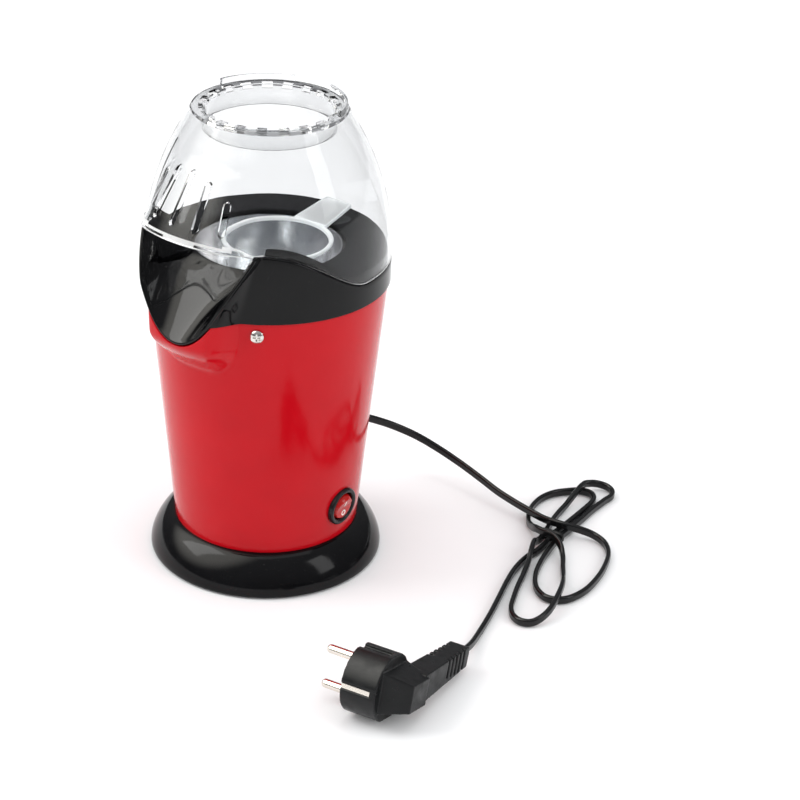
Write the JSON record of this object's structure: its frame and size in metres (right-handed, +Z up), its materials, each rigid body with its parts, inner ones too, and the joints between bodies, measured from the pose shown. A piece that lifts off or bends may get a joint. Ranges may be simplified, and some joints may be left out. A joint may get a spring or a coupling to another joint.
{
  "type": "hot-air popcorn maker",
  "caption": "Tabletop hot-air popcorn maker: flared red body on a round black base, clear slotted dome over a metal chamber, front chute scoop, side rocker switch and a bundled mains cord.",
  "frame": {"origin": "on the body's vertical axis, in the plane the rubber feet rest on", "axes": "+Z up through the dome; -Y out of the chute; +X through the side switch; +Y out of the cord gland"},
  "size_m": [0.2441, 0.2928, 0.268],
  "materials": {
    "black_base": "glossy black moulding",
    "dark_plastic": "matt dark moulding",
    "foot_rubber": "matt",
    "screw_steel": "plated",
    "red_shell": "glossy deep red moulding",
    "black_gloss": "high gloss black moulding",
    "seal_rubber": "matt",
    "chamber_metal": "drawn, lightly brushed",
    "clear_plastic": "clear, polished",
    "dome_plastic": "clear, polished, slightly smoked",
    "duct_metal": "galvanised sheet",
    "mica_board": "matt, layered",
    "heater_wire": "oxidised wire",
    "ceramic_parts": "matt ceramic",
    "fuse_metal": "bright",
    "motor_steel": "zinc plated",
    "pale_plastic": "matt",
    "magnet_dark": "sintered ferrite",
    "bush_brass": "sintered",
    "shaft_steel": "ground",
    "copper_wire": "enamelled copper",
    "brush_carbon": "pressed carbon",
    "board_green": "laminate",
    "diode_black": "moulded",
    "switch_black": "semi-gloss black moulding",
    "rocker_red": "glossy translucent red",
    "terminal_brass": "stamped",
    "lead_sleeve": "silicone sleeve",
    "cord_black": "smooth flexible sheath",
    "tie_black": "coated wire",
    "plug_black": "moulded, satin",
    "pin_metal": "nickel plated"
  },
  "bodies": {
    "base": {"base_skirt": "black_base", "base_plate": "dark_plastic", "rubber_feet": "foot_rubber", "base_screws": "screw_steel", "body_shell": "red_shell", "chute_housing": "black_gloss", "housing_screws": "screw_steel", "chamber_seal": "seal_rubber", "popping_chamber": "chamber_metal", "inner_duct": "duct_metal", "duct_screws": "screw_steel", "motor_plate": "duct_metal", "motor_screws": "screw_steel", "heater_frame": "mica_board", "heater_coil": "heater_wire", "thermostat": "ceramic_parts", "thermal_fuse": "fuse_metal", "motor_can": "motor_steel", "motor_end_cap": "pale_plastic", "motor_magnets": "magnet_dark", "upper_bush": "bush_brass", "lower_bush": "bush_brass", "brushes": "brush_carbon", "rectifier_board": "board_green", "rectifier_diodes": "diode_black", "switch_housing": "switch_black", "switch_terminals": "terminal_brass", "power_leads": "lead_sleeve", "crimp_caps": "pale_plastic", "cord_gland": "cord_black", "mains_cord": "cord_black", "cord_tie": "tie_black", "plug_body": "plug_black", "plug_pins": "pin_metal", "earth_contacts": "pin_metal"},
    "dome": {"dome_cover": "dome_plastic"},
    "cup": {"measuring_cup": "clear_plastic"},
    "rotor": {"motor_shaft": "shaft_steel", "armature_core": "motor_steel", "armature_windings": "copper_wire", "commutator": "copper_wire", "fan_impeller": "dark_plastic"},
    "rocker": {"switch_rocker": "rocker_red"}
  },
  "joints": [
    {"name": "dome_lift", "type": "slide", "parent": "base", "child": "dome", "axis": [0, 0, 1], "range_m": [0, 0.18]},
    {"name": "cup_lift", "type": "slide", "parent": "base", "child": "cup", "axis": [0, 0, 1], "range_m": [0, 0.072]},
    {"name": "rotor_spin", "type": "hinge", "parent": "base", "child": "rotor", "pos_m": [0, 0, 0.08], "axis": [0, 0, 1], "continuous": true},
    {"name": "rocker_tilt", "type": "hinge", "parent": "base", "child": "rocker", "pos_m": [0.05171, 0, 0.04222], "axis": [0, -1, 0], "range_deg": [0, 16]}
  ],
  "couplings": [
    {"joint": "cup_lift", "follows": "dome_lift", "ratio": 0.4}
  ]
}
